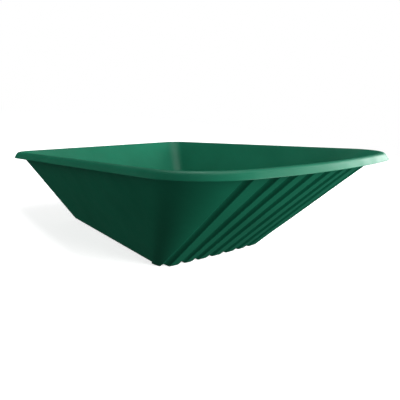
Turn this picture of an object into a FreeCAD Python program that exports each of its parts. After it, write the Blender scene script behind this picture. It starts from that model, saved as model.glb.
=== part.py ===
"""Wheelbarrow tray: one moulded polypropylene pan with a fluted nose.

Frame: +X towards the nose, +Y to the left, +Z up. The origin is the centre of the four bolt
holes, on the flat underside of the base. The rim lies in a plane that climbs towards the nose.
"""
import FreeCAD, Part
import math
import os
import Sketcher
from FreeCAD import Placement, Rotation, Vector

doc = FreeCAD.newDocument("wheelbarrow_tray")

# ---------------------------------------------------------------- driving dimensions (mm, degrees)
DIMENSIONS = [
    ("wall", 4.0, "wall and floor thickness, square to the surface"),
    ("foot_drop", 7.0, "the toe pads stand this far below the base"),
    ("foot_front", 190.0, "front edge of the bottom outline, ahead of the origin"),
    ("foot_length", 387.0, "bottom outline, front to rear"),
    ("foot_front_width", 362.0, "between the corners before rounding"),
    ("foot_rear_width", 411.0, "between the corners before rounding"),
    ("foot_bow", 5.0, "sagitta of the front edge"),
    ("foot_front_radius", 38.0, "front corners in plan"),
    ("foot_rear_radius", 28.0, "rear corners in plan"),
    ("foot_edge_radius", 12.0, "outside, where the walls turn into the floor"),
    ("toe_length", 40.0, "length of the toe pads, front to back"),
    ("rim_reach", 492.0, "nose end of the rim, ahead of the origin"),
    ("rim_height", 327.5, "nose end of the rim, above the base"),
    ("rim_slope", 11.05, "climb of the rim plane towards the nose"),
    ("rim_length", 900.0, "front to rear, along the rim plane"),
    ("rim_front_width", 675.0, "between the corners before rounding"),
    ("rim_rear_width", 601.0, "between the corners before rounding"),
    ("rim_bow", 58.0, "sagitta of the nose end"),
    ("rim_front_radius", 150.0, "front corners in plan"),
    ("rim_rear_radius", 45.0, "rear corners in plan"),
    ("nose_wall_level", 6.7, "nose wall thickness, along the rim plane"),
    ("side_wall_level", 4.6, "side wall thickness, along the rim plane"),
    ("rear_wall_level", 5.2, "rear wall thickness, along the rim plane"),
    ("floor_nose_step", 4.5, "inside bottom outline, ahead of the outside one"),
    ("floor_side_step", 1.3, "the same at each side"),
    ("floor_rear_step", 3.0, "the same at the rear"),
    ("lip_out", 15.0, "reach of the lip beyond the wall"),
    ("lip_drop", 17.0, "fall of the lip below the crest"),
    ("lip_thickness", 4.0, "across the sloping lip"),
    ("crest_width", 5.0, "level top of the lip, outside the wall"),
    ("crest_radius", 3.0, "outer edge of the crest"),
    ("flute_width", 27.0, "across a flute at the rim"),
    ("flute_depth", 9.0, "below the nose surface"),
    ("flute_taper", 0.85, "flute size and spacing at the foot, as a share of the rim's"),
    ("flute_gap", 40.0, "from the crest down the nose to the centre of the flutes' round ends"),
    ("flute_overrun", 25.0, "cutter length past the foot"),
    ("centre_ridge", 60.0, "from flute to flute across the centre ridge, at the rim"),
    ("second_ridge", 56.0, "the same across the next ridge"),
    ("third_ridge", 51.0, "the same across the third ridge"),
    ("edge_ridge", 68.0, "the same across the outermost ridge, the widest"),
    ("edge_flute_foot", 165.0, "from the centre plane to the outermost flutes, at the foot"),
    ("toe_groove", 5.5, "depth of the grooves between the toe pads"),
    ("bolt_hole", 9.0, "clearance for an M8 bolt"),
    ("bolt_rows", 240.0, "hole spacing along X"),
    ("bolt_columns", 260.0, "hole spacing along Y"),
]
dims = doc.addObject("Spreadsheet::Sheet", "dims")
for row, (alias, value, meaning) in enumerate(DIMENSIONS, start=1):
    dims.set(f"A{row}", alias)
    dims.set(f"B{row}", str(value))
    dims.setAlias(f"B{row}", alias)
    dims.set(f"C{row}", meaning)
doc.recompute()


def size(alias):
    """A driving dimension's value, read back from the sheet."""
    return float(dims.get(alias))


def feature(kind, name, **properties):
    """Add a document object and set its properties."""
    made = doc.addObject(kind, name)
    for key, value in properties.items():
        setattr(made, key, value)
    return made


def bind(made, **expressions):
    """Tie properties of an object to the sheet. A double underscore stands for a dot."""
    for path, expression in expressions.items():
        made.setExpression(path.replace("__", "."), expression)


# ---------------------------------------------------------------- outlines
# Each outline is a rounded trapezoid with a bowed front, symmetric about X, whose front middle
# is at x = 0 before its front edge is moved. Offsets are lengths added on each side of it.
ORIGIN_POINT = (-1, 1)
X_AXIS = -1


def outline(name, level, nose="0", side="0", rear="0"):
    """Sketch the outline of a level, 'foot' or 'rim', with the sides moved out by expressions."""
    front_half, rear_half = size(f"{level}_front_width") / 2, size(f"{level}_rear_width") / 2
    bow, length = size(f"{level}_bow"), size(f"{level}_length")
    nose_radius = (front_half ** 2 + bow ** 2) / (2 * bow)
    half_angle = math.asin(front_half / nose_radius)
    front_left, front_right = Vector(-bow, front_half, 0), Vector(-bow, -front_half, 0)
    rear_left, rear_right = Vector(-length, rear_half, 0), Vector(-length, -rear_half, 0)

    sketch = doc.addObject("Sketcher::SketchObject", name)
    circle = Part.Circle(Vector(-nose_radius, 0, 0), Vector(0, 0, 1), nose_radius)
    arc = sketch.addGeometry(Part.ArcOfCircle(circle, -half_angle, half_angle))
    left = sketch.addGeometry(Part.LineSegment(front_left, rear_left))
    back = sketch.addGeometry(Part.LineSegment(rear_left, rear_right))
    right = sketch.addGeometry(Part.LineSegment(rear_right, front_right))
    for one, other in ((arc, left), (left, back), (back, right), (right, arc)):
        sketch.addConstraint(Sketcher.Constraint("Coincident", one, 2, other, 1))

    # The sketcher's own fillets round the corners and leave a tangent joint at each end.
    near_corner = 0.8
    on_arc = front_left * near_corner
    on_side = (front_left + rear_left) / 2
    on_back = Vector(-length, rear_half * near_corner, 0)
    corner_radii = {}
    for one, other, point_one, point_other, flip, end in (
        (arc, left, on_arc, on_side, 1, "front"),
        (left, back, on_side, on_back, 1, "rear"),
        (back, right, on_back, on_side, -1, "rear"),
        (right, arc, on_side, on_arc, -1, "front"),
    ):
        corner_radii[sketch.GeometryCount] = f"dims.{level}_{end}_radius + {side}"
        near_one = Vector(point_one.x, point_one.y * flip, 0)
        near_other = Vector(point_other.x, point_other.y * flip, 0)
        radius = size(f"{level}_{end}_radius")
        sketch.fillet(one, other, near_one, near_other, radius, True, False)

    def rule(expression, value, kind, *places):
        index = sketch.addConstraint(Sketcher.Constraint(kind, *places, value))
        sketch.setExpression(f"Constraints[{index}]", expression)

    for corner, expression in corner_radii.items():
        rule(expression, sketch.Geometry[corner].Radius, "Radius", corner)
    half_front = f"(dims.{level}_front_width / 2 + {side})"
    bow_radius = f"(({half_front}^2 + dims.{level}_bow^2) / (2 * dims.{level}_bow))"
    sketch.addConstraint(Sketcher.Constraint("PointOnObject", arc, 3, X_AXIS))
    rule(bow_radius, nose_radius, "Radius", arc)
    rule(f"{bow_radius} - ({nose})", nose_radius, "DistanceX", arc, 3, *ORIGIN_POINT)
    sketch.addConstraint(Sketcher.Constraint("Vertical", back))
    rule(f"dims.{level}_length + {rear}", length, "DistanceX", back, 1, *ORIGIN_POINT)
    # Each side runs through two construction points, the corners before rounding.
    for line, flip in ((left, 1), (right, -1)):
        for x, y, x_rule, y_rule in (
            (bow, front_half, f"dims.{level}_bow - ({nose})", half_front),
            (length, rear_half, f"dims.{level}_length + {rear}", f"dims.{level}_rear_width / 2 + {side}"),
        ):
            corner = sketch.addGeometry(Part.Point(Vector(-x, y * flip, 0)), True)
            ends = (*ORIGIN_POINT, corner, 1) if flip > 0 else (corner, 1, *ORIGIN_POINT)
            rule(x_rule, x, "DistanceX", corner, 1, *ORIGIN_POINT)
            rule(y_rule, y, "DistanceY", *ends)
            sketch.addConstraint(Sketcher.Constraint("PointOnObject", corner, 1, line))
    return sketch


def lay_at_foot(sketch, height):
    """Put an outline at a height above the base, given as an expression."""
    bind(sketch, Placement__Base__x="dims.foot_front", Placement__Base__z=height)


def lay_at_rim(sketch, below="0"):
    """Put an outline on the rim plane, or some way below it, square to the plane."""
    sketch.Placement = Placement(Vector(0, 0, 0), Rotation(Vector(0, -1, 0), size("rim_slope")))
    bind(sketch,
         Placement__Rotation__Angle="dims.rim_slope",
         Placement__Base__x=f"dims.rim_reach + {below} * sin(dims.rim_slope * 1 deg)",
         Placement__Base__z=f"dims.rim_height - {below} * cos(dims.rim_slope * 1 deg)")


def rounded_pan(name, lower, upper, level, radius):
    """A straight-walled solid between two outlines, with the edges of one level rounded."""
    walls = feature("Part::Loft", name + "_walls", Sections=[lower, upper], Solid=True, Ruled=True)
    doc.recompute()
    to_level = level.Placement.inverse()

    tolerance = 0.01

    def lies_flat(edge):
        return all(abs(to_level.multVec(vertex.Point).z) < tolerance for vertex in edge.Vertexes)

    edges = [i for i, edge in enumerate(walls.Shape.Edges, start=1) if lies_flat(edge)]
    made = feature("Part::Fillet", name, Base=walls)
    made.Edges = [(i, radius, radius) for i in edges]
    return made


# ---------------------------------------------------------------- the pan without its flutes
foot_outline = outline("foot_outline", "foot")
lay_at_foot(foot_outline, "-dims.foot_drop")
rim_outline = outline("rim_outline", "rim")
lay_at_rim(rim_outline)
outside = rounded_pan("outside", foot_outline, rim_outline, foot_outline, size("foot_edge_radius"))

floor_outline = outline("floor_outline", "foot", nose="dims.floor_nose_step",
                        side="dims.floor_side_step", rear="dims.floor_rear_step")
lay_at_foot(floor_outline, "dims.wall")
mouth_outline = outline("mouth_outline", "rim", nose="-dims.nose_wall_level",
                        side="-dims.side_wall_level", rear="-dims.rear_wall_level")
lay_at_rim(mouth_outline)
inside = rounded_pan("inside", floor_outline, mouth_outline, floor_outline,
                     size("foot_edge_radius") - size("wall"))

# The base is relieved behind the toe pads, so that it seats flat on a frame's rails.
relief = feature("Part::Box", "relief")
bind(relief, Length="2 * dims.foot_length", Width="2 * dims.foot_rear_width",
     Height="4 * dims.foot_drop", Placement__Base__z="-4 * dims.foot_drop",
     Placement__Base__x="dims.foot_front - dims.toe_length - 2 * dims.foot_length",
     Placement__Base__y="-dims.foot_rear_width")
seated = feature("Part::Cut", "seated", Base=outside, Tool=relief)

# ---------------------------------------------------------------- lip
crest_outline = outline("crest_outline", "rim", *["dims.crest_width"] * 3)
lay_at_rim(crest_outline)
hem_outline = outline("hem_outline", "rim", *["dims.lip_out"] * 3)
lay_at_rim(hem_outline, "dims.lip_drop")
lip_block = rounded_pan("lip_block", hem_outline, crest_outline, crest_outline, size("crest_radius"))

web_outline = outline("web_outline", "rim", *["dims.crest_width - dims.lip_thickness / 2"] * 3)
lay_at_rim(web_outline, "dims.lip_thickness")
skirt_outline = outline("skirt_outline", "rim", *["dims.lip_out - dims.lip_thickness"] * 3)
lay_at_rim(skirt_outline, "dims.lip_drop")
under_lip = feature("Part::Loft", "under_lip", Sections=[skirt_outline, web_outline],
                    Solid=True, Ruled=True)
lip = feature("Part::Cut", "lip", Base=lip_block, Tool=under_lip)
blank = feature("Part::Fuse", "blank", Base=seated, Tool=lip)

# ---------------------------------------------------------------- flutes
FLUTE_RADIUS = "((dims.flute_width / 2)^2 + dims.flute_depth^2) / (2 * dims.flute_depth)"
TOE_HALF_WIDTH = "(dims.flute_taper * dims.flute_width / 2)"
TOE_RADIUS = f"({TOE_HALF_WIDTH}^2 + dims.toe_groove^2) / (2 * dims.toe_groove)"


def flute_positions():
    """Distances of the flutes from the centre plane, at the rim and at the foot."""
    across = size("centre_ridge") / 2
    positions = [(across, across * size("flute_taper"))]
    for ridge in ("second_ridge", "third_ridge"):
        across += size(ridge)
        positions.append((across, across * size("flute_taper")))
    positions.append((across + size("edge_ridge"), size("edge_flute_foot")))
    return positions + [(-rim, -foot) for rim, foot in positions]


def nose_point(level, across):
    """Where the front of an outline crosses a line along the tray, at a distance from its centre."""
    reach = size("rim_length") / 2
    along = Part.makeLine(level.Placement.multVec(Vector(-reach / 2, across, 0)),
                          level.Placement.multVec(Vector(reach, across, 0)))
    return along.distToShape(level.Shape)[1][0][0]


def flute_tools(name, at_rim, at_foot, skin):
    """A tapered cutter down the nose with a round upper end, its radius grown by an expression."""
    top = nose_point(rim_outline, at_rim)
    bottom = nose_point(foot_outline, at_foot)
    down = (bottom - top).normalize()
    outward = Vector(0, 1, 0).cross(down).normalize()
    radius = ((size("flute_width") / 2) ** 2 + size("flute_depth") ** 2) / (2 * size("flute_depth"))
    start = top + down * size("flute_gap") + outward * (radius - size("flute_depth"))
    length = (bottom - top).Length - size("flute_gap") + size("flute_overrun")
    cone = feature("Part::Cone", name, Height=length,
                   Placement=Placement(start, Rotation(Vector(0, 0, 1), down)))
    bind(cone, Radius1=f"{FLUTE_RADIUS} + {skin}",
         Radius2=f"dims.flute_taper * {FLUTE_RADIUS} + {skin}")
    round_end = feature("Part::Sphere", name + "_end", Placement=Placement(start, Rotation()))
    bind(round_end, Radius=f"{FLUTE_RADIUS} + {skin}")
    return [cone, round_end]


def toe_cutter(name, across):
    """A round groove under the front edge that parts two toe pads."""
    groove = feature("Part::Cylinder", name)
    bind(groove, Radius=TOE_RADIUS, Height="2 * dims.toe_length + dims.flute_overrun")
    groove.Placement = Placement(Vector(0, across, 0), Rotation(Vector(0, 1, 0), 90))
    bind(groove, Placement__Base__x="dims.foot_front - 2 * dims.toe_length",
         Placement__Base__z=f"dims.toe_groove - dims.foot_drop - ({TOE_RADIUS})")
    return groove


flute_cutters = []
bulges = []
for number, (at_rim, at_foot) in enumerate(flute_positions(), start=1):
    flute_cutters += flute_tools(f"flute_{number}", at_rim, at_foot, "0")
    flute_cutters.append(toe_cutter(f"toe_groove_{number}", at_foot))
    # Inside, the wall keeps its thickness behind each flute.
    bulges += flute_tools(f"bulge_{number}", at_rim, at_foot, "dims.wall")
flutes = feature("Part::MultiFuse", "flutes", Shapes=flute_cutters)
flute_backs = feature("Part::MultiFuse", "flute_backs", Shapes=bulges)
hollow = feature("Part::Cut", "hollow", Base=inside, Tool=flute_backs)
fluted = feature("Part::Cut", "fluted", Base=blank, Tool=flutes)
shell = feature("Part::Cut", "shell", Base=fluted, Tool=hollow)

# ---------------------------------------------------------------- bolt holes
bolt_holes = []
for front in (1, -1):
    for left in (1, -1):
        hole = feature("Part::Cylinder", f"bolt_hole_{len(bolt_holes) + 1}")
        bind(hole, Radius="dims.bolt_hole / 2", Height="4 * dims.wall",
             Placement__Base__x=f"{front} * dims.bolt_rows / 2",
             Placement__Base__y=f"{left} * dims.bolt_columns / 2",
             Placement__Base__z="-dims.wall")
        bolt_holes.append(hole)
drill = feature("Part::MultiFuse", "drill", Shapes=bolt_holes)
tray = feature("Part::Cut", "tray", Base=shell, Tool=drill)
tray.Label = "tray"

# ---------------------------------------------------------------- check and write
SUB_PARTS = [tray]
doc.recompute()
for made in doc.Objects:
    if "Invalid" in made.State or "Error" in made.State:
        raise RuntimeError(f"{made.Label} failed: {made.State}")
os.makedirs("parts", exist_ok=True)
for part in SUB_PARTS:
    shape = part.Shape
    if shape.isNull() or not shape.isValid():
        raise RuntimeError(f"{part.Label} has no valid shape")
    print(part.Label, "solids", len(shape.Solids), "volume", round(shape.Volume / 1000), "cm3",
          "box", shape.BoundBox)
    shape.exportStep(f"parts/{part.Label}.step")
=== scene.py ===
"""Looks of the wheelbarrow tray: a dense moulded shell that stands for the CAD tray.

The shell has the CAD part's outlines, worked out again here in metres, with every rounding, flute
and hem modelled in the mesh. It is a stack of closed rings: up the outside from the floor, over the
lip and down the inside, with a grid across the floor at each end of the stack.
"""
import math

import bmesh
import bpy
import numpy as np
from mathutils import Matrix, Vector


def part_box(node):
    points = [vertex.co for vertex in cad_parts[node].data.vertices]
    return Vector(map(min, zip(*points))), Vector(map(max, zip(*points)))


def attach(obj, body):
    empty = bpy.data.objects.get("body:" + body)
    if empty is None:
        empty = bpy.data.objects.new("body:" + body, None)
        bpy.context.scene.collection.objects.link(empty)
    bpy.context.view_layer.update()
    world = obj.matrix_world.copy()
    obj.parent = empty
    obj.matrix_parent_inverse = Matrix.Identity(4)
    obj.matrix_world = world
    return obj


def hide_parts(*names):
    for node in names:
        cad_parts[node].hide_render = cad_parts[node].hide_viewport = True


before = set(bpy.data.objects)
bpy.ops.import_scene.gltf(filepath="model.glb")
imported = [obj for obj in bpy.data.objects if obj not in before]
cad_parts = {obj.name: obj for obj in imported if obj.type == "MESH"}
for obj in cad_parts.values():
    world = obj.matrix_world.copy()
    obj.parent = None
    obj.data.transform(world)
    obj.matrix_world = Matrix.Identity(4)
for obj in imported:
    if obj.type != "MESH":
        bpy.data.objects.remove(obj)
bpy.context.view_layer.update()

MM = 0.001


# ---------------------------------------------------------------- camera
CAMERA_PLACE = Vector((1.0815, -0.9157, 0.5478))
CAMERA_TARGET = Vector((0.0880, 0.0150, 0.1143))
CAMERA_ROLL = math.radians(6.58)
CAMERA_LENS = 47.2


def camera():
    """The camera stands ahead of the nose on the right, a little above the rim."""
    data = bpy.data.cameras.new("camera")
    data.lens = CAMERA_LENS
    eye = bpy.data.objects.new("camera", data)
    bpy.context.collection.objects.link(eye)
    aim = (CAMERA_TARGET - CAMERA_PLACE).to_track_quat("-Z", "Y")
    turn = Matrix.Rotation(CAMERA_ROLL, 4, "Z")
    eye.matrix_world = Matrix.Translation(CAMERA_PLACE) @ aim.to_matrix().to_4x4() @ turn
    bpy.context.scene.camera = eye


camera()


# ---------------------------------------------------------------- sizes, as in the CAD part
WALL = 4 * MM
FOOT_DROP = 7 * MM
FOOT_FRONT = 190 * MM
FOOT = dict(length=387 * MM, front=181 * MM, rear=205.5 * MM, bow=5 * MM,
            front_radius=38 * MM, rear_radius=28 * MM)
RIM = dict(length=900 * MM, front=337.5 * MM, rear=300.5 * MM, bow=58 * MM,
           front_radius=150 * MM, rear_radius=45 * MM)
RIM_REACH = 492 * MM
RIM_HEIGHT = 327.5 * MM
RIM_SLOPE = math.radians(11.05)
RIM_FORWARD = np.array((math.cos(RIM_SLOPE), 0, math.sin(RIM_SLOPE)))
RIM_UP = np.array((-math.sin(RIM_SLOPE), 0, math.cos(RIM_SLOPE)))
UP = np.array((0.0, 0.0, 1.0))
FLOOR_BEND = 12 * MM
FLOOR_CLEARANCE = 0.5 * MM
TOE_LENGTH = 40 * MM
TOE_STEP_RADIUS = 1 * MM
TOE_STEP_DRAFT = 0.1
STEP_LEAD = 2
FLUTE_HALF_WIDTH = 13.5 * MM
FLUTE_DEPTH = 9 * MM
FLUTE_RADIUS = (FLUTE_HALF_WIDTH ** 2 + FLUTE_DEPTH ** 2) / (2 * FLUTE_DEPTH)
FLUTE_RISE = FLUTE_RADIUS - FLUTE_DEPTH
FLUTE_TAPER = 0.85
FLUTE_GAP = 40 * MM
FLUTE_EDGE = 2.5 * MM
# Where the columns stand on a flute: turns round its bowl, then distances over its edge.
FLUTE_TURNS = np.radians((0, 15, 29, 42, 53, 61.7))
FLUTE_SHOULDER = np.array((13.3, 13.9, 14.5, 15.1, 16.2, 17.4)) * MM
# Distances from the end of a flute at which the wall's rings stand, along its centre line.
FLUTE_END_RINGS = np.array((-7, 0, 4, 7.5, 10.3, 12, 13, 13.7, 14.3, 15, 16.2, 17.6)) * MM
RIDGES = (60 * MM, 56 * MM, 51 * MM, 68 * MM)
EDGE_FLUTE_FOOT = 165 * MM
TOE_GROOVE = 5.5 * MM
LIP_OUT = 15 * MM
LIP_DROP = 17 * MM
HEM_WIDTH = 4 * MM
CREST_OUT = 5 * MM
WEB_DROP = 4.6 * MM
WEB_OUT = 3.2 * MM
LIP_START = 7 * MM
LIP_SETBACKS = [setback * MM for setback in (1.5, 2, 1.2, 1.8, 7.5, 3.2)]
LIP_STEPS = 6
LIP_SHARE = 0.96
LOWEST_SHARE = 0.09
LOW_RINGS = 12
BEND_STEPS = 7
CLIMB_STEP = 0.01
OUTLINE_STEPS = 60
REAR_TURN_COLUMNS = 5
SIDE_LEAD = 4
SIDE_SPREAD = (0.012, 0.03, 0.055, 0.085, 0.12, 0.17, 0.23, 0.3, 0.38, 0.46, 0.54, 0.62, 0.7, 0.78,
               0.86, 0.93, 1)
# How much of the nose's and the rear's curve the floor's first and last rows keep.
NOSE_CURVE_KEPT = (0.62, 0.28)
REAR_CURVE_KEPT = (0.2, 0.45, 0.72)
BOLT_ROWS = 240 * MM
BOLT_COLUMNS = 260 * MM
BOLT_HOLE = 9 * MM
DRILL_SIDES = 48
SHARP_ANGLE = math.radians(50)


# ---------------------------------------------------------------- outlines
def half_outline(length, front, rear, bow, front_radius, rear_radius):
    """Dense points of the left half of an outline, from the middle of the nose to the rear's.

    The half is a bowed nose, a front corner, a straight side, a rear corner and a straight rear,
    and each of the five has the same number of points in every outline.
    """
    steps = np.linspace(0, 1, OUTLINE_STEPS + 1)[1:, None]
    nose_radius = (front ** 2 + bow ** 2) / (2 * bow)
    nose_centre = np.array((-nose_radius, 0))
    start, end = np.array((-bow, front)), np.array((-length, rear))
    along = (end - start) / np.linalg.norm(end - start)
    out = np.array((along[1], -along[0]))
    # The corner circle touches the nose arc and the side from inside.
    gap = start - out * front_radius - nose_centre
    reach = nose_radius - front_radius
    slide = -gap @ along - math.sqrt((gap @ along) ** 2 - gap @ gap + reach ** 2)
    corner = nose_centre + gap + along * slide
    nose_turn = math.atan2(corner[1], corner[0] + nose_radius)
    side_turn = math.atan2(out[1], out[0])
    inner_end = end - out * rear_radius
    rear_corner = inner_end + along * (rear_radius - length - inner_end[0]) / along[0]

    def arc(centre, radius, first, last):
        turn = first + (last - first) * steps
        return centre + radius * np.hstack((np.cos(turn), np.sin(turn)))

    def straight(first, last):
        return first + (last - first) * steps

    side_start, side_end = corner + out * front_radius, rear_corner + out * rear_radius
    rear_start = rear_corner - np.array((rear_radius, 0))
    return np.vstack((
        np.zeros((1, 2)),
        arc(nose_centre, nose_radius, 0, nose_turn),
        arc(corner, front_radius, nose_turn, side_turn),
        straight(side_start, side_end),
        arc(rear_corner, rear_radius, side_turn, math.pi),
        straight(rear_start, np.array((-length, 0))),
    ))


def placed(flat, forward, origin):
    """Flat points laid on the plane through an origin, with X along its forward direction."""
    return origin + flat[:, :1] * forward + flat[:, 1:] * np.array((0, 1, 0))


FOOT_HALF = placed(half_outline(**FOOT), np.array((1, 0, 0)), np.array((FOOT_FRONT, 0, -FOOT_DROP)))
RIM_HALF = placed(half_outline(**RIM), RIM_FORWARD, np.array((RIM_REACH, 0, RIM_HEIGHT)))


def section(height):
    """The left half of the outside at a height share, 0 at the foot and 1 at the rim, and its runs."""
    points = FOOT_HALF + (RIM_HALF - FOOT_HALF) * height
    steps = np.linalg.norm(np.diff(points, axis=0), axis=1)
    return points, np.concatenate(((0,), np.cumsum(steps)))


FOOT_RUNS, RIM_RUNS = section(0)[1], section(1)[1]


def run_across(half, runs, across):
    """Length along a half outline from the nose to where it is this far from the centre plane."""
    front = slice(0, 2 * OUTLINE_STEPS)
    return float(np.interp(across, half[front, 1], runs[front]))


def run_back(half, runs, place):
    """Length along a half outline from the nose to where its X is this, past the front corner's start."""
    side = slice(OUTLINE_STEPS, 4 * OUTLINE_STEPS)
    return float(np.interp(-place, -half[side, 0], runs[side]))


# ---------------------------------------------------------------- columns
# A column is a line up the wall. It has a distance along the outline at the foot and another at the
# rim, both from the middle of the nose or both from the middle of the rear, and a side of the tray.
def flute_centres():
    """Signed runs of the flutes at the foot and at the rim, from right to left."""
    across = RIDGES[0] / 2
    half = [across]
    for ridge in RIDGES[1:]:
        across += ridge
        half.append(across)
    at_foot = [FLUTE_TAPER * place for place in half[:-1]] + [EDGE_FLUTE_FOOT]
    left = [(run_across(FOOT_HALF, FOOT_RUNS, foot), run_across(RIM_HALF, RIM_RUNS, rim))
            for foot, rim in zip(at_foot, half)]
    return [(-foot, -rim) for foot, rim in reversed(left)] + left


FLUTES = flute_centres()


def front_columns():
    """Signed runs of the nose's columns at the foot and the rim, dense over the flutes' edges."""
    half = np.concatenate((FLUTE_RADIUS * np.sin(FLUTE_TURNS), FLUTE_SHOULDER))
    offsets = np.concatenate((-half[:0:-1], half))
    columns = []
    for number, (foot, rim) in enumerate(FLUTES):
        if number:
            foot_before, rim_before = FLUTES[number - 1]
            columns.append(((foot_before + foot) / 2, (rim_before + rim) / 2))
        columns += [(foot + offset * FLUTE_TAPER, rim + offset) for offset in offsets]
    return columns


def toe_step():
    """Points (X, Z) of the step from the toe pads up to the base, rounded at both of its edges."""
    step, radius = FOOT_FRONT - TOE_LENGTH, TOE_STEP_RADIUS
    turns = np.radians((0, 30, 60, 90))
    points = [(step + radius * (1 - math.sin(turn)), -FOOT_DROP + radius * (1 - math.cos(turn)))
              for turn in turns]
    points += [(step - radius * (1 - math.cos(turn)), -radius * (1 - math.sin(turn))) for turn in turns]
    return [(x - TOE_STEP_DRAFT * (z + FOOT_DROP), z) for x, z in points]


def side_columns(foot_start, rim_start):
    """Runs of the left side's columns, past the nose's last, as far as the rear corner.

    At the foot they crowd round the step of the toe pads, because the floor's rows start there.
    """
    step = [run_back(FOOT_HALF, FOOT_RUNS, x) for x, _ in toe_step()]
    foot = [foot_start + (step[0] - foot_start) * (i + 1) / (STEP_LEAD + 1) for i in range(STEP_LEAD)]
    foot += step
    near = len(foot) + SIDE_LEAD
    end = FOOT_RUNS[3 * OUTLINE_STEPS]
    foot += [foot[-1] + (end - foot[-1]) * share for share in SIDE_SPREAD]
    rim_corner, rim_side = RIM_RUNS[2 * OUTLINE_STEPS], RIM_RUNS[3 * OUTLINE_STEPS]
    far = len(foot) - near
    rim = [rim_start + (rim_corner - rim_start) * (i + 1) / near for i in range(near)]
    rim += [rim_corner + (rim_side - rim_corner) * (i + 1) / far for i in range(far)]
    return list(zip(foot, rim))


def columns():
    """Arrays of the columns' foot and rim distances, whether they count from the rear, and side."""
    front = front_columns()
    side = side_columns(*front[-1])
    ends = [(runs[-1] - runs[3 * OUTLINE_STEPS],
             runs[-1] - (runs[3 * OUTLINE_STEPS] + runs[4 * OUTLINE_STEPS]) / 2)
            for runs in (FOOT_RUNS, RIM_RUNS)]
    turn = [tuple(first + (last - first) * step / REAR_TURN_COLUMNS for first, last in ends)
            for step in range(1, REAR_TURN_COLUMNS)]
    rear = [tuple(share * last for _, last in ends) for share in np.linspace(1, -1, len(front))]
    rows = [(abs(foot), abs(rim), False, math.copysign(1, rim)) for foot, rim in front]
    left = [(foot, rim, False, 1) for foot, rim in side]
    left += [(foot, rim, True, 1) for foot, rim in turn]
    rows += left
    rows += [(abs(foot), abs(rim), True, math.copysign(1, rim)) for foot, rim in rear]
    rows += [(foot, rim, from_rear, -1) for foot, rim, from_rear, _ in reversed(left)]
    foot, rim, from_rear, flip = (np.array(column) for column in zip(*rows))
    return foot, rim, from_rear.astype(bool), flip, len(front), len(left)


FOOT_WAY, RIM_WAY, FROM_REAR, FLIP, FRONT_COUNT, SIDE_COUNT = columns()
COLUMN_COUNT = len(FOOT_WAY)


def ring(height):
    """The outside's point at every column at a height share, without flutes."""
    points, runs = section(height)
    way = FOOT_WAY + (RIM_WAY - FOOT_WAY) * height
    way = np.where(FROM_REAR, runs[-1] - way, way)
    made = np.stack([np.interp(way, runs, points[:, axis]) for axis in range(3)], axis=1)
    made[:, 1] *= FLIP
    return made


def unit(vectors):
    """The vectors' directions."""
    return vectors / np.linalg.norm(vectors, axis=-1, keepdims=True)


def tangents(points):
    """Directions round a ring, counter-clockwise from above."""
    return unit(np.roll(points, -1, axis=0) - np.roll(points, 1, axis=0))


def outward(points, up):
    """Outward directions of a flat ring in its own plane."""
    return unit(np.cross(tangents(points), up))


# ---------------------------------------------------------------- flutes
def flute_depth(off, radius, rise):
    """Depth of a round flute this far from its centre line, with its edges rounded over."""
    edge_centre = math.sqrt((radius + FLUTE_EDGE) ** 2 - (rise + FLUTE_EDGE) ** 2)
    meet = edge_centre * radius / (radius + FLUTE_EDGE)
    bowl = np.sqrt(np.maximum(radius ** 2 - off ** 2, 0)) - rise
    over = FLUTE_EDGE - np.sqrt(np.maximum(FLUTE_EDGE ** 2 - (edge_centre - off) ** 2, 0))
    return np.where(off < meet, bowl, np.where(off < edge_centre, over, 0))


def fluting(height, slope_length, skin=0.0):
    """How far every column at a height share is pressed in by the flutes. The inside's are wider."""
    way = (FOOT_WAY + (RIM_WAY - FOOT_WAY) * height) * FLIP
    above = np.maximum(FLUTE_GAP - (1 - height) * slope_length, 0)
    radius = FLUTE_RADIUS * (FLUTE_TAPER + (1 - FLUTE_TAPER) * height)
    depth = np.zeros(COLUMN_COUNT)
    for foot, rim in FLUTES:
        off = np.hypot(way - (foot + (rim - foot) * height), above)
        depth = np.maximum(depth, flute_depth(off, radius + skin, FLUTE_RISE + skin))
    return np.where(FROM_REAR, 0, depth)


# ---------------------------------------------------------------- walls
def wall_rings():
    """Rings of the outer and the inner skin from just above the floor bend to just below the lip."""
    slope_length = np.linalg.norm(ring(1) - ring(0), axis=1)
    nose_length = slope_length[FRONT_COUNT // 2]
    fine = 1 - (FLUTE_GAP - FLUTE_END_RINGS) / nose_length
    low = np.linspace(LOWEST_SHARE, fine[0], LOW_RINGS + 1)[:-1]
    outer, inner = [], []
    for height in [*low, *fine, LIP_SHARE]:
        points = ring(height)
        climb = ring(height + CLIMB_STEP) - ring(height - CLIMB_STEP)
        normal = unit(np.cross(tangents(points), climb))
        outer.append(points - normal * fluting(height, slope_length)[:, None])
        press = WALL + fluting(height, slope_length, WALL)
        inner.append(points - normal * press[:, None])
    return outer, inner


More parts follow.
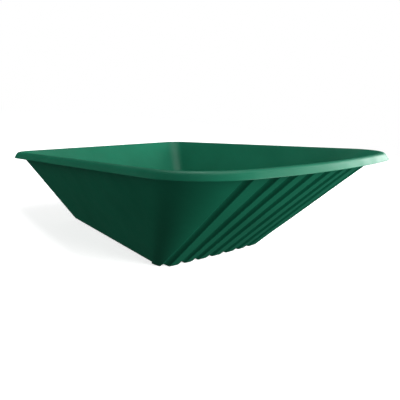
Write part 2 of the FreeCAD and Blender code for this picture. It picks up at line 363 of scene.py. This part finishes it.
def bend_rings(inset, radius, floor, press):
    """Rings of the bend between a floor and a wall set in from the outside, from the floor up.

    floor is the height of the floor at every column, and press the depth of the flutes at the
    bend's two ends.
    """
    foot, above = ring(0), ring(LOWEST_SHARE)
    out = outward(foot, UP)
    climb = (above - foot) / (above - foot)[:, 2:]
    normal = unit(np.cross(tangents(foot), climb))
    lean = np.arcsin(-normal[:, 2])
    wall_foot = foot - out * (inset / np.cos(lean))[:, None]
    edge = wall_foot + climb * (floor - foot[:, 2])[:, None]
    turn = math.pi / 2 - lean
    reach = radius * np.tan(turn / 2)
    shear = climb - out * np.sum(climb * out, axis=1)[:, None]
    shear[:, 2] = 0
    rings = []
    for share in np.linspace(0, 1, BEND_STEPS + 1):
        angle = turn * share
        rise = radius * (1 - np.cos(angle))
        level = (radius * np.sin(angle) - reach)[:, None] * out
        facing = np.sin(angle)[:, None] * out - np.cos(angle)[:, None] * UP
        depth = press[0] + (press[1] - press[0]) * share
        rings.append(edge + level + rise[:, None] * (UP + shear) - facing * depth[:, None])
    return rings


def rounded_line(corners, setbacks, steps):
    """Points along a line of corners, each rounded by a quadratic curve that starts a setback away."""
    made = []
    for before, corner, after, setback in zip(corners, corners[1:], corners[2:], setbacks):
        first = corner + unit(before - corner) * setback
        last = corner + unit(after - corner) * setback
        for share in np.linspace(0, 1, steps):
            made.append(first * (1 - share) ** 2 + corner * 2 * share * (1 - share) + last * share ** 2)
    return made


def lip_rings():
    """Rings of the lip: its underside, hem, outer face and crest, and the inner edge of the wall."""
    top = ring(1)
    climb = top - ring(LIP_SHARE)
    out = outward(top, RIM_UP)
    lean = np.sum(climb * out, axis=1) / (climb @ RIM_UP)
    thick = WALL * np.sqrt(1 + lean ** 2)

    def at(reach, drop):
        return top + out * np.broadcast_to(reach, COLUMN_COUNT)[:, None] - RIM_UP * drop

    corners = [
        at(-lean * LIP_START, LIP_START),
        at(-lean * WEB_DROP, WEB_DROP),
        at(WEB_OUT, WEB_DROP),
        at(LIP_OUT - HEM_WIDTH, LIP_DROP),
        at(LIP_OUT, LIP_DROP),
        at(CREST_OUT, 0),
        at(-thick, 0),
        at(-thick - lean * LIP_START, LIP_START),
    ]
    return rounded_line(corners, LIP_SETBACKS, LIP_STEPS)


# ---------------------------------------------------------------- floor
def underside():
    """Height of the underside at every column: the toe pads, their step, then the base."""
    height = np.zeros(COLUMN_COUNT)
    height[:FRONT_COUNT] = -FOOT_DROP
    for i, value in enumerate([-FOOT_DROP] * STEP_LEAD + [z for _, z in toe_step()]):
        height[FRONT_COUNT + i] = value
        height[COLUMN_COUNT - 1 - i] = value
    return height


def floor_grid(edge, toe_press):
    """Inner points of a floor's grid, row by row from the front, inside a ring's points.

    The grid's rows join the left and right columns and its lines join the nose's and the rear's.
    """
    front = edge[:FRONT_COUNT]
    left = edge[FRONT_COUNT:FRONT_COUNT + SIDE_COUNT]
    rear = edge[FRONT_COUNT + SIDE_COUNT:FRONT_COUNT + SIDE_COUNT + FRONT_COUNT][::-1]
    spread = front[:, 1] / front[-1, 1]
    even = rear[:, 1] / rear[-1, 1]
    fade_front = np.zeros(SIDE_COUNT)
    fade_front[:len(NOSE_CURVE_KEPT)] = NOSE_CURVE_KEPT
    fade_rear = np.zeros(SIDE_COUNT)
    fade_rear[-len(REAR_CURVE_KEPT):] = REAR_CURVE_KEPT
    toe_rows = STEP_LEAD + len(toe_step())
    rows = []
    for i in range(SIDE_COUNT):
        back = max(0, i - toe_rows + 1) / (SIDE_COUNT - toe_rows + 1)
        x = left[i, 0] + (front[:, 0] - front[-1, 0]) * fade_front[i]
        x = x + (rear[:, 0] - rear[-1, 0]) * fade_rear[i]
        y = left[i, 1] * (spread + (even - spread) * back)
        fall = (left[i, 2] + FOOT_DROP) / FOOT_DROP
        z = left[i, 2] + toe_press * max(0, 1 - fall)
        rows.append(np.stack((x, y, z), axis=1)[1:-1])
    return rows


# ---------------------------------------------------------------- the shell
def stacked_rings():
    """Every ring of the shell: outer bend and wall, lip, inner wall and bend."""
    slope_length = np.linalg.norm(ring(1) - ring(0), axis=1)
    toe_radius = (FLUTE_TAPER * FLUTE_HALF_WIDTH) ** 2 / (2 * TOE_GROOVE) + TOE_GROOVE / 2
    toe = np.zeros(COLUMN_COUNT)
    for foot, _ in FLUTES:
        off = np.abs(FOOT_WAY * FLIP - foot)
        toe = np.maximum(toe, flute_depth(off, toe_radius, toe_radius - TOE_GROOVE))
    toe[FROM_REAR] = 0
    bend_share = LOWEST_SHARE / 3
    outer, inner = wall_rings()
    outer_bend = bend_rings(0, FLOOR_BEND, underside(), (toe, fluting(bend_share, slope_length)))
    inner_bend = bend_rings(WALL, FLOOR_BEND - WALL, np.full(COLUMN_COUNT, WALL),
                            (np.zeros(COLUMN_COUNT), fluting(bend_share, slope_length, WALL)))
    return outer_bend + outer + lip_rings() + inner[::-1] + inner_bend[::-1], toe[:FRONT_COUNT]


def tray_mesh():
    """One closed mesh of the whole moulding, without its bolt holes."""
    rings, toe = stacked_rings()
    points = list(np.concatenate(rings))
    faces = []
    for level in range(len(rings) - 1):
        low, high = level * COLUMN_COUNT, (level + 1) * COLUMN_COUNT
        for i in range(COLUMN_COUNT):
            after = (i + 1) % COLUMN_COUNT
            faces.append((low + i, low + after, high + after, high + i))
    for first, edge in ((0, rings[0]), ((len(rings) - 1) * COLUMN_COUNT, rings[-1])):
        lines = [[first + i for i in range(FRONT_COUNT)]]
        for i, row in enumerate(floor_grid(edge, toe)):
            inside = range(len(points), len(points) + len(row))
            points += list(row)
            lines.append([first + COLUMN_COUNT - 1 - i, *inside, first + FRONT_COUNT + i])
        rear = first + FRONT_COUNT + SIDE_COUNT
        lines.append([rear + FRONT_COUNT - 1 - i for i in range(FRONT_COUNT)])
        for near, far in zip(lines, lines[1:]):
            for i in range(FRONT_COUNT - 1):
                faces.append((near[i], near[i + 1], far[i + 1], far[i]))
    mesh = bpy.data.meshes.new("tray_shell")
    mesh.from_pydata([tuple(point) for point in points], [], faces)
    made = bmesh.new()
    made.from_mesh(mesh)
    bmesh.ops.recalc_face_normals(made, faces=made.faces)
    made.to_mesh(mesh)
    made.free()
    return mesh


def drilled(mesh):
    """The tray's object with its four bolt holes cut."""
    piece = bpy.data.objects.new("tray_shell", mesh)
    bpy.context.collection.objects.link(piece)
    made = bmesh.new()
    for front in (1, -1):
        for left in (1, -1):
            place = Matrix.Translation((front * BOLT_ROWS / 2, left * BOLT_COLUMNS / 2, WALL / 2))
            bmesh.ops.create_cone(made, cap_ends=True, segments=DRILL_SIDES, radius1=BOLT_HOLE / 2,
                                  radius2=BOLT_HOLE / 2, depth=3 * WALL, matrix=place)
    drill_mesh = bpy.data.meshes.new("drill")
    made.to_mesh(drill_mesh)
    made.free()
    drill = bpy.data.objects.new("drill", drill_mesh)
    bpy.context.collection.objects.link(drill)
    cut = piece.modifiers.new("bolt_holes", "BOOLEAN")
    cut.object, cut.solver = drill, "EXACT"
    graph = bpy.context.evaluated_depsgraph_get()
    piece.data = bpy.data.meshes.new_from_object(piece.evaluated_get(graph))
    piece.modifiers.clear()
    bpy.data.objects.remove(drill)
    return piece


def tray():
    """The finished shell, smooth but for the edges of its bolt holes."""
    piece = drilled(tray_mesh())
    piece.data.shade_smooth()
    piece.data.set_sharp_from_angle(angle=SHARP_ANGLE)
    piece.data.materials.clear()
    piece.data.materials.append(plastic())
    return piece


# ---------------------------------------------------------------- material
def node_tools(material):
    """Short helpers that add and join nodes in a material."""
    tree = material.node_tree

    def add(kind, **settings):
        node = tree.nodes.new("ShaderNode" + kind)
        for key, value in settings.items():
            if key[0].islower():
                setattr(node, key, value)
            else:
                node.inputs[key.replace("_", " ")].default_value = value
        return node

    def join(source, output, target, name):
        tree.links.new(source.outputs[output], target.inputs[name])

    return add, join


DARK_GREEN = (0.0045, 0.126, 0.068, 1)
PALE_GREEN = (0.0060, 0.146, 0.080, 1)
# Painted shade: how dark the colour is made in creases, and how far out from them it reaches.
PAINTED_CREASE_SHADE = (0.12, 0.12, 0.12, 1)
PAINTED_SHADE_REACH = 35 * MM


def plastic():
    """Dark green moulded polypropylene: satin, with a fine grain, soft clouding and painted crease shade.
    """
    material = bpy.data.materials.new("tray_plastic")
    material.use_nodes = True
    material.node_tree.nodes.clear()
    add, join = node_tools(material)
    out = add("OutputMaterial")
    shader = add("BsdfPrincipled", IOR=1.49, Specular_IOR_Level=0.22)
    join(shader, "BSDF", out, "Surface")
    place = add("TexCoord")

    cloud = add("TexNoise", Scale=9.0, Detail=3.0)
    join(place, "Object", cloud, "Vector")
    tint = add("ValToRGB")
    tint.color_ramp.elements[0].position = 0.3
    tint.color_ramp.elements[0].color = DARK_GREEN
    tint.color_ramp.elements[1].position = 0.7
    tint.color_ramp.elements[1].color = PALE_GREEN
    join(cloud, "Fac", tint, "Fac")

    # Painted shade: the colour is darker down in the flutes and under the lip, which the soft lights
    # leave pale.
    painted_shade_mask = add("AmbientOcclusion", Distance=PAINTED_SHADE_REACH, samples=12)
    shade = add("ValToRGB")
    shade.color_ramp.elements[0].position = 0.35
    shade.color_ramp.elements[0].color = PAINTED_CREASE_SHADE
    shade.color_ramp.elements[1].position = 0.85
    join(painted_shade_mask, "AO", shade, "Fac")
    painted_shade_mix = add("MixRGB", blend_type="MULTIPLY")
    painted_shade_mix.inputs["Fac"].default_value = 1.0
    join(tint, "Color", painted_shade_mix, "Color1")
    join(shade, "Color", painted_shade_mix, "Color2")
    join(painted_shade_mix, "Color", shader, "Base Color")

    # The satin is a little uneven.
    rubbed = add("TexNoise", Scale=26.0, Detail=4.0)
    join(place, "Object", rubbed, "Vector")
    gloss = add("MapRange", From_Min=0.3, From_Max=0.7, To_Min=0.40, To_Max=0.52)
    join(rubbed, "Fac", gloss, "Value")
    join(gloss, "Result", shader, "Roughness")

    grain = add("TexNoise", Scale=900.0, Detail=2.0)
    join(place, "Object", grain, "Vector")
    bump = add("Bump", Strength=0.25, Distance=0.0003)
    join(grain, "Fac", bump, "Height")
    join(bump, "Normal", shader, "Normal")
    return material


shell = tray()
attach(shell, "root")
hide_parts("tray")


# ---------------------------------------------------------------- studio
MIDDLE = Vector((0.05, 0, 0.15))
LAMP_DISTANCE = 2.0
LAMP_SIZE = 1.0
FLOOR_REACH = 6.0
FLOOR_GLOW = 0.75
FLOOR_FADE_START = 0.6
FLOOR_FADE_END = 2.0
WORLD_GLOW = 0.04


def floor():
    """A plain pale floor just under the toe pads, which fades into the white surround far out."""
    made = bmesh.new()
    bmesh.ops.create_grid(made, x_segments=1, y_segments=1, size=FLOOR_REACH)
    mesh = bpy.data.meshes.new("floor")
    made.to_mesh(mesh)
    made.free()
    ground = bpy.data.objects.new("floor", mesh)
    ground.location.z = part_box("tray")[0][2] - FLOOR_CLEARANCE
    # The floor takes the tray's shadow but throws no light back up at its undersides, and the low
    # lights shine through it.
    ground.visible_diffuse = False
    ground.visible_glossy = False
    ground.visible_shadow = False
    bpy.context.collection.objects.link(ground)

    material = bpy.data.materials.new("floor")
    material.use_nodes = True
    material.node_tree.nodes.clear()
    add, join = node_tools(material)
    out = add("OutputMaterial")
    mixed = add("MixShader")
    near = add("BsdfPrincipled", Base_Color=(0.8, 0.8, 0.8, 1), Roughness=0.9, Specular_IOR_Level=0.0,
               Emission_Color=(1, 1, 1, 1), Emission_Strength=FLOOR_GLOW)
    far = add("Emission", Strength=1.0)
    place = add("TexCoord")
    distance = add("VectorMath", operation="LENGTH")
    fade = add("MapRange", interpolation_type="SMOOTHSTEP", From_Min=FLOOR_FADE_START,
               From_Max=FLOOR_FADE_END)
    join(place, "Object", distance, 0)
    join(distance, "Value", fade, "Value")
    join(fade, "Result", mixed, 0)
    join(near, "BSDF", mixed, 1)
    join(far, "Emission", mixed, 2)
    join(mixed, "Shader", out, "Surface")
    mesh.materials.append(material)
    return ground


def soft_light(name, azimuth, elevation, power, shines=True):
    """A square area light that looks at the middle of the tray. Azimuth 0 is ahead of the nose."""
    data = bpy.data.lights.new(name, "AREA")
    data.size, data.energy = LAMP_SIZE, power
    lamp = bpy.data.objects.new(name, data)
    turn, rise = math.radians(azimuth), math.radians(elevation)
    away = Vector((math.cos(turn) * math.cos(rise), math.sin(turn) * math.cos(rise), math.sin(rise)))
    lamp.location = MIDDLE + away * LAMP_DISTANCE
    lamp.rotation_euler = away.to_track_quat("Z", "Y").to_euler()
    lamp.visible_camera = False
    lamp.visible_glossy = shines
    bpy.context.collection.objects.link(lamp)


def surround():
    """A white surround to look at, which itself gives only a little light."""
    world = bpy.data.worlds.new("surround")
    world.use_nodes = True
    tree = world.node_tree
    back = tree.nodes["Background"]
    back.inputs["Color"].default_value = (1, 1, 1, 1)
    seen = tree.nodes.new("ShaderNodeLightPath")
    level = tree.nodes.new("ShaderNodeMapRange")
    level.inputs["To Min"].default_value = WORLD_GLOW
    tree.links.new(seen.outputs["Is Camera Ray"], level.inputs["Value"])
    tree.links.new(level.outputs["Result"], back.inputs["Strength"])
    bpy.context.scene.world = world


def studio():
    """The key light stands ahead of the nose, with weaker low and high lights all round the tray."""
    surround()
    soft_light("key", 16, 17, 50)
    soft_light("left_low", 100, 3, 34, shines=False)
    soft_light("left_mid", 75, 18, 29)
    soft_light("left_high", 55, 45, 9)
    soft_light("top", 0, 88, 14)
    soft_light("rear_left", 130, 3, 8, shines=False)
    soft_light("rear_high", 180, 65, 12)
    soft_light("right_low", -138, 8, 13, shines=False)
    soft_light("nose_right_low", -60, 0, 5)
    bpy.context.scene.view_settings.view_transform = "Standard"


floor()
studio()
